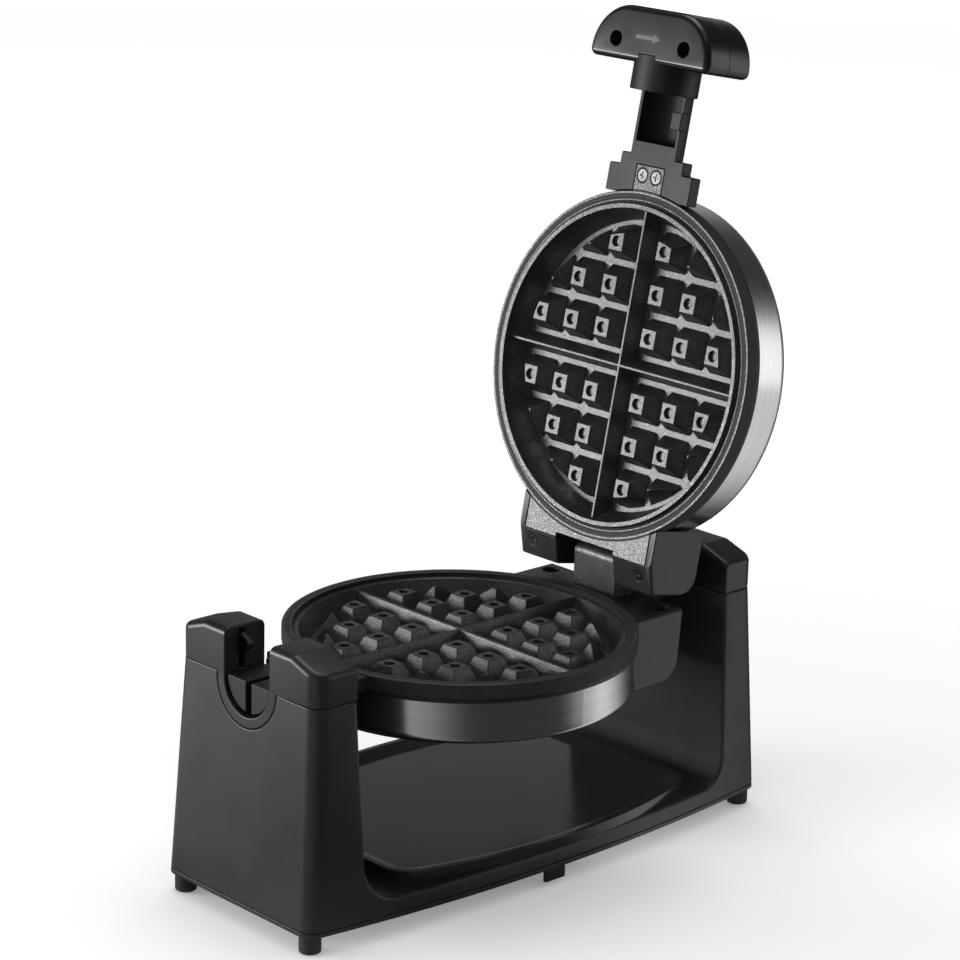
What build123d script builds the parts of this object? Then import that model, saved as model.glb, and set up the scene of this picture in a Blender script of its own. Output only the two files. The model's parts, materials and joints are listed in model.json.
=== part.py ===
from build123d import *
from math import hypot, radians, tan
import os

# A flip-over Belgian waffle maker, shown with its lid open.
# X is to the right, Y runs from the grip at the front to the hinge at the rear, Z is up.
# The origin is on the table, under the middle of the stand. Everything is in millimetres.
# The lid's pieces are drawn shut and then swung open about the hinge pin.

# the heads, which the rest of the machine is sized round
head_radius = 100.0
head_y = -13.0
flip_height = head_radius + 35.7

# heights of the stand
foot_height = 10.6
plate_skin = 2.6
deck_height = 22.0
seam_height = flip_height + 0.3
brow_height = flip_height + 18.3
roof_height = flip_height + 25.3

# plan of the stand
base_length = 2 * (head_radius + 73.35)
base_width = 122.6
base_bulge = 13.0
seam_length = base_length - 14.7
seam_width = base_width - 6.6
seam_bulge = 0.6
corner_radius = 9.0
edge_round = 2.2
shell_wall = 2.6
foot_radius = 6.1
foot_inset = 8.0
hook_width = 15.0
hook_y = -4.0
hook_drop = 7.6
hook_thick = 2.4
base_screw_x = base_width / 2 - 19.3
base_screw_y = base_length / 2 - 85.35

# clearances
seat_gap = 0.15
run_gap = 0.15
slide_gap = 0.3

# the gap between the towers
front_inner_y = head_y - head_radius - 25.2
rear_inner_y = head_y + head_radius + 54.3
front_cove = 22.0
rear_cove = 18.0
tower_draft = 1.3

# the caps of the towers
roof_half = base_width / 2 - 24.3
roof_round = 4.0
cap_wall = 3.2
cap_lip = 4.0
lip_wall = 1.6
cradle_radius = 18.7
cradle_lining = 6.0

# the cooking heads
rim_skirt = 8.2
skirt_wall = 2.5
ring_height = 2.6
ring_radius = head_radius - 0.6
ring_inner_radius = head_radius - 5
cover_depth = 35.2
cover_radius = head_radius - 1
cover_sheet = 1.0
cover_round = 6.0
casting = 3.0
cavity_depth = 13.3
cavity_floor_radius = head_radius - 15.8
cavity_mouth_radius = head_radius - 9.3
land_depth = 2.4
land_radius = head_radius - 6.5
lip_height = 2.3
lip_inner_radius = head_radius - 10.3
lip_radius = head_radius - 7.2
rim_gap = 0.3
head_clearance = 0.4

# the grid of the waffle
stud_pitch = head_radius * 0.251
stud_first = head_radius * 0.188
stud_base = head_radius * 0.209
stud_top = head_radius * 0.11
stud_post = 5.4
stud_floor_radius = head_radius - 18.8
stud_top_radius = head_radius - 24
dimple_radius = 2.9
dimple_depth = 2.2
divider_base = 9.4
divider_top = 1.8

# inside the heads
element_radius = head_radius * 0.62
element_tube = 3.5
element_turn = 325.0
element_leg = 5.0
pan_depth = 26.0
pan_rim_radius = head_radius - 17
pan_floor_radius = head_radius - 24
pan_sheet = 0.8
post_circle = head_radius * 0.7
post_radius = 4.0
cover_screw_radius = 1.6
cover_screw_head = 3.6
cover_screw_thick = 1.8
cover_screw_length = 9.0
thermostat_radius = 8.0
thermostat_height = 8.0
fuse_radius = 3.0
fuse_length = 20.0
fuse_y = 32.0
lens_radius = 4.0
lens_x = 12.0
lens_y = head_radius * -0.7
lens_dome = 1.6

# the lid hinge, measured from the head's middle and from the flip axis
flange_root = head_radius * 0.82
hinge_back = head_radius + 11.9
hinge_rise = 18.1
lid_open_angle = 101.4
knuckle_radius = 7.0
pin_radius = 2.5
pin_half = head_radius * 0.5
riser_half = 17.0
slot_half = 23.2
slot_front = head_radius + 4
flange_half = head_radius * 0.49
flange_back = head_radius + 6.5
flange_thick = 5.0
hinge_cover_half = head_radius * 0.54
hinge_cover_back = head_radius + 22.6
hinge_cover_height = 41.0
hinge_cover_round = 11.5
slope_rise = 5.7
hinge_cover_edge = 2.0
cover_wall = 2.4
block_inner = head_radius * 0.26
block_outer = head_radius * 0.48
block_front = head_radius - 0.5
hinge_screw_x = head_radius * 0.432
hinge_screw_y = head_radius + 13
hinge_screw_length = 8.0
screw_head = 3.5
screw_shank = 1.6
lower_flange_half = head_radius * 0.528
lower_flange_back = head_radius + 22.4
lower_flange_thick = 5.6
flange_hole_x = head_radius * 0.45
flange_hole_y = head_radius + 14
flange_hole_radius = 5.0
lower_cover_half = head_radius * 0.55
lower_cover_back = head_radius + 23.5
lower_cover_toe = head_radius + 19.8
lower_cover_height = 44.6
lower_cover_round = 14.0
boss_radius = 15.0
boss_back = head_radius + 27

# the pivot shaft and its bearing
shaft_radius = 10.0
shaft_bore = 6.5
shaft_front = head_radius + 13
shaft_end_y = rear_inner_y + 18.7
wire_hole = 4.5
wire_hole_back = head_radius + 19.5
bush_radius = 14.0
bush_length = 8.7
bush_flange = 17.5
bush_flange_thick = 1.6
bearing_thick = 2.0
bearing_width = 60.0
bearing_low = flip_height - 25.7
bearing_high = flip_height + 20.3
clip_radius = 13.5
clip_thick = 1.6

# the handle arm and the lower half-stem
stem_radius = 17.6
stem_bore = 15.0
solid_back = -head_radius - 28
arm_front = 3 - head_radius
arm_thick = 7.7
wide_step = head_radius * 0.65
wide_step_tip = -head_radius - 13.2
mid_step = head_radius * 0.488
mid_step_tip = -head_radius - 20.4
tongue_half = 11.0
tongue_tip = -head_radius - 14.8
tongue_thick = 4.0
tongue_screw_x = 5.3
tongue_screw_y = -head_radius - 9
tongue_screw_length = 6.8
tab_edge = 9.0
tab_face = 16.5
tab_near = -head_radius - 47.5
tab_far = -head_radius - 37.6
collar_radius = 19.5
collar_start = -head_radius - 56.5
collar_end = -head_radius - 76.5
collar_web = 8.5
stem_tip = -head_radius - 51.6
stem_slot = 4.6
stem_slot_start = -head_radius - 26
stem_slot_depth = 18.0

# the grip
grip_flat = -head_radius - 71.4
grip_tip = -head_radius - 102.5
grip_width = 92.0
grip_corner = 27.0
grip_half_thick = 18.6
grip_round = 3.5
grip_wall = 3.0
grip_screw_x = 26.3
grip_screw_y = -head_radius - 82.6
grip_well = 4.5
grip_well_depth = 9.0
grip_post = 6.5
grip_heel = 4.0
grip_screw_length = 16.0
tang_half = 13.0
tang_tip = -head_radius - 88
tang_thick = 10.0
arrow_line = head_radius + 85.6
arrow_tail = -11.0
arrow_neck = 2.0
arrow_tip = 8.0
arrow_shaft = 0.5
arrow_barb = 1.7
arrow_rise = 0.5

# the lock pawl in the left prong of the front cap
pawl_y = front_inner_y - 15.8
pawl_thick = 3.0
pawl_pin_x = -24.0
pawl_pin_z = flip_height + 5.3
pawl_pin_radius = 1.5
pawl_back_x = -26.5
pawl_nose_x = -10.2
pawl_nose_z = flip_height + 15.2
pawl_nose_thick = 1.6
pawl_top_z = flip_height + 21.9
pawl_block_half = 5.0
pawl_block_x = -38.0
pawl_slot_x = -36.8
pawl_slot_top = flip_height + 23.3
pawl_slot_low = flip_height + 0.9
pawl_low_z = flip_height + 2.5
pawl_heel_x = -21.5
pawl_top_x = -19.5
pawl_chin_x = -19.5
pawl_chin_z = flip_height + 7.9

# the drip tray
tray_length = 2 * head_radius + 26
tray_mid_y = 8.0
tray_overhang = 24.0
tray_width = base_width + 2 * base_bulge - 0.2 + tray_overhang
tray_end_width = base_width - 10.6 + tray_overhang
tray_corner = 20.0
tray_rise = 6.0
tray_lip = 3.0
tray_slope = 9.0
tray_floor = 2.0

# the mains entry
gland_z = 30.0
gland_radius = 6.0
gland_flange = 9.0
gland_bore = 3.6
gland_seat_y = base_length / 2 - 1.95
gland_length = 10.0
terminal_length = 34.0
terminal_width = 12.0
terminal_height = 14.0
terminal_y = base_length / 2 - 21.35

# places worked out from the sizes above
hinge_y = head_y + hinge_back
hinge_z = flip_height + hinge_rise
hinge_axis = Axis((0, hinge_y, hinge_z), (1, 0, 0))
head_axis = Axis((0, head_y, flip_height), (0, 0, 1))
plate_top = foot_height + plate_skin
ring_top = rim_skirt
ring_bottom = rim_skirt + ring_height
plate_under = cavity_depth + casting
hull = head_radius + head_clearance
parting = Plane(origin=(0, head_y, flip_height + rim_gap / 2), x_dir=(1, 0, 0), z_dir=(0, 0, 1))
big = 500.0


def level(height):
    """A level plane at a height above the table."""
    return Plane.XY.offset(height)


def head_level(height):
    """A level plane over the head's middle, its height measured from the flip axis."""
    return Plane(origin=(0, head_y, flip_height + height), x_dir=(1, 0, 0), z_dir=(0, 0, 1))


def head_side(x):
    """An upright plane facing +X beside the head, with Y to the right and Z up."""
    return Plane(origin=(x, head_y, flip_height), x_dir=(0, 1, 0), z_dir=(1, 0, 0))


def head_front(y):
    """An upright plane facing the front, at a distance behind the head's middle."""
    return Plane(origin=(0, head_y + y, flip_height), x_dir=(1, 0, 0), z_dir=(0, -1, 0))


def swing_open(shape, name):
    """Swing a piece of the shut lid to the open pose, name it and write it."""
    opened = shape.rotate(hinge_axis, -lid_open_angle)
    opened.label = name
    export_step(opened, f"parts/{name}.step")


def turn_over(shape, name):
    """Make the lid's twin of a piece of the lower head, and swing it open."""
    swing_open(shape.mirror(parting), name)


def barrel_outline(length, ends, bulge, corner):
    """A rounded rectangle whose two long sides bulge outwards as arcs."""
    half = length / 2
    side = ends / 2
    with BuildSketch() as outline:
        with BuildLine():
            Line((-side, half), (side, half))
            ThreePointArc((side, half), (side + bulge, 0), (side, -half))
            Line((side, -half), (-side, -half))
            ThreePointArc((-side, -half), (-side - bulge, 0), (-side, half))
        make_face()
        fillet(vertices(), radius=corner)
    return outline.sketch


def stand_block(bottom, top, inset):
    """The stand as a solid block between two heights, its sides set in by a wall."""
    with BuildPart() as block:
        for height in (bottom, top):
            share = (height - foot_height) / (seam_height - foot_height)
            length = base_length + (seam_length - base_length) * share
            ends = base_width + (seam_width - base_width) * share
            bulge = base_bulge + (seam_bulge - base_bulge) * share
            with BuildSketch(level(height)):
                add(barrel_outline(length - 2 * inset, ends - 2 * inset, bulge, corner_radius - inset))
        loft(ruled=True)
    return block.part


def trough_block(grow):
    """The room between the towers, grown by a wall."""
    floor = deck_height - grow
    front = front_inner_y - grow
    rear = rear_inner_y + grow
    lean = tan(radians(tower_draft)) * (seam_height - deck_height)
    above = roof_height + 20
    with BuildPart() as block:
        with BuildSketch(Plane.YZ):
            with BuildLine():
                Polyline(
                    (front, above),
                    (front, seam_height),
                    (front + lean, floor),
                    (rear - lean, floor),
                    (rear, seam_height),
                    (rear, above),
                    close=True,
                )
            make_face()
            low = vertices().group_by(Axis.Y)[0].sort_by(Axis.X)
            fillet(low[0], radius=front_cove + grow)
            low = vertices().group_by(Axis.Y)[0].sort_by(Axis.X)
            fillet(low[-1], radius=rear_cove + grow)
        extrude(amount=big / 2, both=True)
    return block.part


def tower_plan(inner_y, inset):
    """The plan of one tower at the seam, set in by a wall."""
    side = 1 if inner_y > 0 else -1
    near = abs(inner_y) + inset
    corner = corner_radius - inset
    with BuildSketch() as plan:
        add(barrel_outline(seam_length - 2 * inset, seam_width - 2 * inset, seam_bulge, corner))
        with Locations((0, side * (near + big / 2))):
            Rectangle(big, big, mode=Mode.INTERSECT)
    return plan.sketch


def cap_block(inner_y, inset):
    """A tower's cap as a solid block from the seam up to its hipped roof, set in by a wall."""
    slope = (roof_height - brow_height) / (seam_width / 2 - roof_half)
    with BuildPart() as block:
        with BuildSketch(level(seam_height)):
            add(tower_plan(inner_y, inset))
        extrude(amount=roof_height - seam_height - inset)
        with BuildSketch(Plane.XZ):
            with BuildLine():
                Polyline(
                    (-seam_width, 0),
                    (-seam_width, roof_height - inset - slope * (seam_width - roof_half)),
                    (-roof_half, roof_height - inset),
                    (roof_half, roof_height - inset),
                    (seam_width, roof_height - inset - slope * (seam_width - roof_half)),
                    (seam_width, 0),
                    close=True,
                )
            make_face()
        extrude(amount=big / 2, both=True, mode=Mode.INTERSECT)
    return block.part


def tower_lip(inner_y):
    """The rim under a cap that drops inside its tower's walls."""
    outer = shell_wall + seat_gap
    with BuildPart() as lip:
        with BuildSketch(level(seam_height - cap_lip)):
            add(tower_plan(inner_y, outer))
            add(tower_plan(inner_y, outer + lip_wall), mode=Mode.SUBTRACT)
        extrude(amount=cap_lip + cap_wall)
    return lip.part


def ring_of_studs():
    """The places of all studs of one plate, as a list of points from its middle."""
    rows = [stud_first + stud_pitch * step for step in range(3)]
    rows = rows + [-row for row in rows]
    return [(x, y) for x in rows for y in rows if hypot(x, y) < cavity_mouth_radius]


# one stud, drafted on all sides, its corners cut upright where four studs meet
with BuildPart() as stud:
    stud_height = cavity_depth - land_depth
    stud_draft = (stud_base - stud_top) / 2
    with BuildSketch(head_level(-cavity_depth)):
        Rectangle(stud_base, stud_base)
    with BuildSketch(head_level(-land_depth)):
        Rectangle(stud_top, stud_top)
    loft(ruled=True)
    with BuildSketch(head_level(-cavity_depth)):
        with GridLocations(stud_pitch, stud_pitch, 2, 2):
            Rectangle(stud_post * 2 ** 0.5, stud_post * 2 ** 0.5, rotation=45)
    extrude(amount=stud_height, mode=Mode.SUBTRACT)

# the studs of one plate, trimmed by a cone where they come near its wall
with BuildPart() as studs:
    with Locations(*[(x, y, 0) for x, y in ring_of_studs()]):
        add(stud.part)
    with BuildSketch(head_level(-cavity_depth)):
        Circle(stud_floor_radius)
    with BuildSketch(head_level(-land_depth)):
        Circle(stud_top_radius)
    loft(mode=Mode.INTERSECT)
    with BuildSketch(head_level(-land_depth)):
        with Locations(*[spot for spot in ring_of_studs() if hypot(*spot) < stud_top_radius - 4]):
            Circle(dimple_radius)
    extrude(amount=-dimple_depth, mode=Mode.SUBTRACT)

# the cross that divides the waffle into quarters, its ends let into the plate's wall
with BuildPart() as dividers:
    for plane in (head_side(-head_radius), head_front(head_radius)):
        with BuildSketch(plane):
            with BuildLine():
                Polyline(
                    (-divider_base / 2, -cavity_depth),
                    (divider_base / 2, -cavity_depth),
                    (divider_top / 2, -land_depth),
                    (-divider_top / 2, -land_depth),
                    close=True,
                )
            make_face()
        extrude(amount=2 * head_radius)
    with BuildSketch(head_level(-cavity_depth)):
        Circle(cavity_floor_radius + casting / 3)
    with BuildSketch(head_level(-land_depth)):
        Circle(cavity_mouth_radius + casting / 3)
    loft(mode=Mode.INTERSECT)


def screws(plane, spots, head, thick, shank, length, recess=True):
    """Flat-headed screws set flush in a plane, each with a cross recess."""
    with BuildPart() as made:
        with BuildSketch(plane):
            with Locations(*spots):
                Circle(head)
        extrude(amount=-thick)
        with BuildSketch(plane.offset(-thick)):
            with Locations(*spots):
                Circle(shank)
        extrude(amount=-(length - thick))
        if recess:
            with BuildSketch(plane):
                with Locations(*spots):
                    Rectangle(head * 1.2, head * 0.25)
                    Rectangle(head * 0.25, head * 1.2)
            extrude(amount=-thick / 2, mode=Mode.SUBTRACT)
    return made.part


def hull_cylinder(radius):
    """An upright cylinder round the heads."""
    with BuildPart() as round_hull:
        with BuildSketch(head_level(-big / 2)):
            Circle(radius)
        extrude(amount=big)
    return round_hull.part


hull_block = hull_cylinder(hull)
hull_and_wall = hull_cylinder(hull + cover_wall)
os.makedirs("parts", exist_ok=True)

# the stand's shell: two hollow towers joined by a low deck
stand_solid = stand_block(plate_top, seam_height, 0)
stand_room = stand_block(plate_top, seam_height, shell_wall)
trough = trough_block(0)
trough_skin = trough_block(shell_wall)

with BuildPart() as stand_cavity:
    add(stand_room)
    add(trough_skin, mode=Mode.SUBTRACT)

with BuildPart() as base_shell:
    add(stand_solid)
    add(trough, mode=Mode.SUBTRACT)
    add(stand_cavity.part, mode=Mode.SUBTRACT)
    # bosses for the screws of the bottom plate
    with BuildSketch(level(plate_top)):
        with GridLocations(2 * base_screw_x, 2 * base_screw_y, 2, 2):
            Circle(cover_screw_head + shell_wall)
    extrude(amount=deck_height - plate_top - shell_wall / 2)
    with BuildSketch(level(plate_top)):
        with GridLocations(2 * base_screw_x, 2 * base_screw_y, 2, 2):
            Circle(cover_screw_radius)
    extrude(amount=deck_height - plate_top - shell_wall, mode=Mode.SUBTRACT)
    # the front tower opens for the cradle of its cap
    with BuildSketch(Plane.XZ.offset(-front_inner_y - 10)):
        with Locations((0, flip_height)):
            Circle(cradle_radius + cradle_lining + seat_gap)
    extrude(amount=60, mode=Mode.SUBTRACT)
    # the rear tower's inner wall opens for the bush, its rear wall for the cord gland
    with BuildSketch(Plane.XZ.offset(-rear_inner_y - 10)):
        with Locations((0, flip_height)):
            Circle(bush_radius)
    extrude(amount=20, mode=Mode.SUBTRACT)
    with BuildSketch(Plane.XZ.offset(-rear_inner_y)):
        with Locations((0, flip_height)):
            Circle(bush_flange + seat_gap)
    extrude(amount=2 * bush_flange_thick, mode=Mode.SUBTRACT)
    with BuildSketch(Plane.XZ.offset(-gland_seat_y)):
        with Locations((0, gland_z)):
            Circle(gland_flange + seat_gap)
    extrude(amount=-10, mode=Mode.SUBTRACT)
    with BuildSketch(Plane.XZ.offset(-gland_seat_y)):
        with Locations((0, gland_z)):
            Circle(gland_radius)
    extrude(amount=10, mode=Mode.SUBTRACT)
    # rounded edges where the trough between the towers meets the long sides
    trough_edges = edges().filter_by(
        lambda edge: abs(edge.center().X) > base_width / 2 - 4.3
        and front_inner_y - 1 < edge.center().Y < rear_inner_y + 1
        and edge.bounding_box().min.Z > deck_height - 1
        and edge.bounding_box().size.X < 20
        and edge.length > 5
    )
    fillet(trough_edges, radius=edge_round)
base_shell.part.label = "base_shell"
export_step(base_shell.part, "parts/base_shell.step")

# the bottom plate, with a hook under the middle of each long side
with BuildPart() as base_plate:
    add(stand_block(foot_height, plate_top, 0))
    side = base_width / 2 + base_bulge
    with BuildSketch(level(foot_height)):
        for x in (-1, 1):
            with Locations((x * (side - hook_thick), hook_y)):
                Rectangle(hook_thick, hook_width)
    extrude(amount=-hook_drop)
    spots = [(x, y) for x in (-base_screw_x, base_screw_x) for y in (-base_screw_y, base_screw_y)]
    base_screw_plane = Plane(origin=(0, 0, foot_height), x_dir=(1, 0, 0), z_dir=(0, 0, -1))
    add(
        screws(base_screw_plane, spots, cover_screw_head, plate_skin / 2, cover_screw_radius, 8, False),
        mode=Mode.SUBTRACT,
    )
base_plate.part.label = "base_plate"
export_step(base_plate.part, "parts/base_plate.step")

base_screws = screws(base_screw_plane, spots, cover_screw_head, plate_skin / 2, cover_screw_radius, 8)
base_screws.label = "base_screws"
export_step(base_screws, "parts/base_screws.step")

# four round feet under the corners
with BuildPart() as rubber_feet:
    with BuildSketch(level(0)):
        with GridLocations(
            base_width - 2 * foot_inset,
            base_length - 2 * foot_inset,
            2,
            2,
        ):
            Circle(foot_radius)
    extrude(amount=foot_height)
    fillet(edges().group_by(Axis.Z)[0], radius=1.2)
rubber_feet.part.label = "rubber_feet"
export_step(rubber_feet.part, "parts/rubber_feet.step")

# the front cap: two prongs beside the notch, and the cradle that lines it
cradle_outer = cradle_radius + cradle_lining
with BuildPart() as cradle:
    with BuildSketch(Plane.XZ):
        with Locations((0, flip_height)):
            Circle(cradle_outer)
    extrude(amount=big / 2)
    add(stand_solid, mode=Mode.INTERSECT)
    add(trough, mode=Mode.SUBTRACT)

with BuildPart() as front_room:
    add(cap_block(front_inner_y, cap_wall))
    with BuildSketch(level(seam_height)):
        Rectangle(2 * cradle_outer, big)
        with Locations(((pawl_block_x - cradle_outer) / 2, pawl_y)):
            Rectangle(-pawl_block_x - cradle_outer, 2 * pawl_block_half)
    extrude(amount=roof_height - seam_height, mode=Mode.SUBTRACT)

with BuildPart() as front_tower_cap:
    add(cap_block(front_inner_y, 0))
    roof_edges = edges().filter_by_position(Axis.Z, brow_height - 2, roof_height + 1)
    fillet(roof_edges, radius=roof_round)
    add(front_room.part, mode=Mode.SUBTRACT)
    add(tower_lip(front_inner_y))
    # the lip stops beside the cradle's cut in the shell
    with BuildSketch(level(seam_height - cap_lip)):
        Rectangle(2 * (cradle_outer + 2 * seat_gap), big)
    extrude(amount=cap_lip, mode=Mode.SUBTRACT)
    add(cradle.part)
    # the notch
    with BuildSketch(Plane.XZ):
        with Locations((0, flip_height)):
            Circle(cradle_radius)
        with Locations((0, flip_height + big / 2)):
            Rectangle(2 * cradle_radius, big)
    extrude(amount=big / 2, mode=Mode.SUBTRACT)
    # the pawl's slot and the hole of its pin
    with BuildSketch(Plane.XZ.offset(-pawl_y)):
        with Locations(((pawl_slot_x - cradle_radius) / 2, (pawl_slot_top + pawl_slot_low) / 2)):
            Rectangle(-pawl_slot_x - cradle_radius + 1, pawl_slot_top - pawl_slot_low)
    extrude(amount=pawl_thick / 2 + slide_gap, both=True, mode=Mode.SUBTRACT)
    with BuildSketch(Plane.XZ.offset(-pawl_y)):
        with Locations((pawl_pin_x, pawl_pin_z)):
            Circle(pawl_pin_radius)
    extrude(amount=pawl_block_half - 1, both=True, mode=Mode.SUBTRACT)
front_tower_cap.part.label = "front_tower_cap"
export_step(front_tower_cap.part, "parts/front_tower_cap.step")

# the lock pawl on its pin
with BuildPart() as lock_pawl:
    with BuildSketch(Plane.XZ.offset(-pawl_y)):
        with BuildLine():
            Polyline(
                (pawl_back_x, pawl_low_z),
                (pawl_heel_x, pawl_low_z),
                (pawl_chin_x, pawl_chin_z),
                (pawl_nose_x, pawl_nose_z),
                (pawl_nose_x, pawl_nose_z + pawl_nose_thick),
                (pawl_top_x, pawl_top_z),
                (pawl_back_x, pawl_top_z),
                close=True,
            )
        make_face()
        with Locations((pawl_pin_x, pawl_pin_z)):
            Circle(pawl_pin_radius + run_gap, mode=Mode.SUBTRACT)
    extrude(amount=pawl_thick / 2, both=True)
lock_pawl.part.label = "lock_pawl"
export_step(lock_pawl.part, "parts/lock_pawl.step")

with BuildPart() as pawl_pin:
    with BuildSketch(Plane.XZ.offset(-pawl_y)):
        with Locations((pawl_pin_x, pawl_pin_z)):
            Circle(pawl_pin_radius)
    extrude(amount=pawl_block_half - 1, both=True)
pawl_pin.part.label = "pawl_pin"
export_step(pawl_pin.part, "parts/pawl_pin.step")

# the rear cap, split from the shell at the middle of the bush
bearing_front = rear_inner_y + shell_wall
with BuildPart() as rear_tower_cap:
    add(cap_block(rear_inner_y, 0))
    roof_edges = edges().filter_by_position(Axis.Z, brow_height - 2, roof_height + 1)
    fillet(roof_edges, radius=roof_round)
    add(cap_block(rear_inner_y, cap_wall), mode=Mode.SUBTRACT)
    add(tower_lip(rear_inner_y))
    # room for the bearing plate against the inner wall
    with BuildSketch(Plane.XZ.offset(-bearing_front)):
        with Locations((0, (bearing_low + bearing_high) / 2)):
            Rectangle(bearing_width + 2 * seat_gap, bearing_high - bearing_low + 2 * seat_gap)
    extrude(amount=-(bearing_thick + lip_wall), mode=Mode.SUBTRACT)
    with BuildSketch(Plane.XZ.offset(-rear_inner_y - 10)):
        with Locations((0, flip_height)):
            Circle(bush_radius)
    extrude(amount=20, mode=Mode.SUBTRACT)
rear_tower_cap.part.label = "rear_tower_cap"
export_step(rear_tower_cap.part, "parts/rear_tower_cap.step")

# the steel plate behind the rear tower's inner wall, and the bush it holds
with BuildPart() as bearing_plate:
    with BuildSketch(Plane.XZ.offset(-bearing_front)):
        with Locations((0, (bearing_low + bearing_high) / 2)):
            Rectangle(bearing_width, bearing_high - bearing_low)
        fillet(vertices(), radius=bush_flange_thick)
        with Locations((0, flip_height)):
            Circle(bush_radius, mode=Mode.SUBTRACT)
    extrude(amount=-bearing_thick)
bearing_plate.part.label = "bearing_plate"
export_step(bearing_plate.part, "parts/bearing_plate.step")

with BuildPart() as shaft_bush:
    with BuildSketch(Plane.XZ.offset(-rear_inner_y)):
        with Locations((0, flip_height)):
            Circle(bush_flange)
    extrude(amount=bush_flange_thick)
    with BuildSketch(Plane.XZ.offset(-rear_inner_y)):
        with Locations((0, flip_height)):
            Circle(bush_radius)
    extrude(amount=-bush_length)
    with BuildSketch(Plane.XZ.offset(-rear_inner_y)):
        with Locations((0, flip_height)):
            Circle(shaft_radius + run_gap)
    extrude(amount=2 * bush_length, both=True, mode=Mode.SUBTRACT)
shaft_bush.part.label = "shaft_bush"
export_step(shaft_bush.part, "parts/shaft_bush.step")

# the gland of the mains cord, and the block that its wires end in
with BuildPart() as cord_gland:
    gland_plane = Plane.XZ.offset(-gland_seat_y)
    with BuildSketch(gland_plane):
        with Locations((0, gland_z)):
            Circle(gland_flange)
    extrude(amount=-(base_length / 2 - gland_seat_y))
    with BuildSketch(gland_plane):
        with Locations((0, gland_z)):
            Circle(gland_radius)
    extrude(amount=gland_length)
    with BuildSketch(gland_plane):
        with Locations((0, gland_z)):
            Circle(gland_bore)
    extrude(amount=2 * gland_length, both=True, mode=Mode.SUBTRACT)
cord_gland.part.label = "cord_gland"
export_step(cord_gland.part, "parts/cord_gland.step")

with BuildPart() as terminal_block:
    with BuildSketch(level(plate_top)):
        with Locations((0, terminal_y)):
            Rectangle(terminal_length, terminal_width)
    extrude(amount=terminal_height)
    # a row of clamp holes along the top
    with BuildSketch(level(plate_top + terminal_height)):
        with Locations((0, terminal_y)):
            with GridLocations(terminal_length / 3, 1, 3, 1):
                Circle(cover_screw_radius)
    extrude(amount=-terminal_height / 2, mode=Mode.SUBTRACT)
terminal_block.part.label = "terminal_block"
export_step(terminal_block.part, "parts/terminal_block.step")

# the drip tray: a flat lip, a sloping side and a level floor, and an overhang on the left to pull it by
tray_bulge = (tray_width - tray_end_width) / 2
with BuildPart() as drip_tray:
    tray_plane = Plane(origin=(-tray_overhang / 2, tray_mid_y, deck_height), x_dir=(1, 0, 0), z_dir=(0, 0, 1))
    with BuildSketch(tray_plane):
        add(barrel_outline(tray_length, tray_end_width, tray_bulge, tray_corner))
    extrude(amount=tray_rise)
    for height, inset in ((tray_floor, tray_lip + tray_slope), (tray_rise, tray_lip)):
        with BuildSketch(tray_plane.offset(height)):
            add(
                barrel_outline(
                    tray_length - 2 * inset,
                    tray_end_width - 2 * inset,
                    tray_bulge,
                    tray_corner - inset,
                )
            )
    loft(ruled=True, mode=Mode.SUBTRACT)
drip_tray.part.label = "drip_tray"
export_step(drip_tray.part, "parts/drip_tray.step")

# posts under a cooking plate that carry its cover
with BuildPart() as cover_posts:
    with BuildSketch(head_level(-cavity_depth - casting / 2)):
        with PolarLocations(post_circle, 3, start_angle=30):
            Circle(post_radius)
    extrude(amount=-(cover_depth - cover_sheet - cavity_depth - casting / 2))
post_spots = [(location.position.X, location.position.Y) for location in PolarLocations(post_circle, 3, 30)]
cover_screw_plane = Plane(origin=(0, head_y, flip_height - cover_depth), x_dir=(1, 0, 0), z_dir=(0, 0, -1))
cover_screw_spots = [(x, -y) for x, y in post_spots]
cover_screw_plane = cover_screw_plane.offset(cover_screw_thick)
cover_screw_size = (cover_screw_head, cover_screw_thick, cover_screw_radius, cover_screw_length)
cover_screw_room = screws(cover_screw_plane, cover_screw_spots, *cover_screw_size, False)


def plate_flange(half, back, top, thick):
    """The hinge flange of a cooking plate, outside the rim."""
    with BuildPart() as made:
        with BuildSketch(head_level(top)):
            with Locations((0, (flange_root + back) / 2)):
                Rectangle(2 * half, back - flange_root)
            Circle(head_radius - skirt_wall, mode=Mode.SUBTRACT)
        extrude(amount=-thick)
    return made.part


def plate_tongue(widen, deepen):
    """The tongue at the front of a cooking plate, or with more width and depth its pocket."""
    with BuildPart() as made:
        with BuildSketch(head_level(0)):
            with Locations((0, (arm_front + tongue_tip - widen) / 2)):
                Rectangle(2 * (tongue_half + widen), arm_front - tongue_tip + widen)
            Circle(head_radius - skirt_wall, mode=Mode.SUBTRACT)
        extrude(amount=-(tongue_thick + deepen))
    return made.part


def plate_casting(rim_points):
    """A cooking plate without its flange: the turned shell, the studs, the cross and the posts."""
    with BuildPart() as made:
        with BuildSketch(head_front(0)):
            with BuildLine():
                Polyline(*rim_points, close=True)
            make_face()
        revolve(axis=head_axis)
        add(studs.part)
        add(dividers.part)
        add(cover_posts.part)
        add(plate_tongue(0, 0))
        add(tongue_screw_room, mode=Mode.SUBTRACT)
        add(cover_screw_room, mode=Mode.SUBTRACT)
    return made.part


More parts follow.
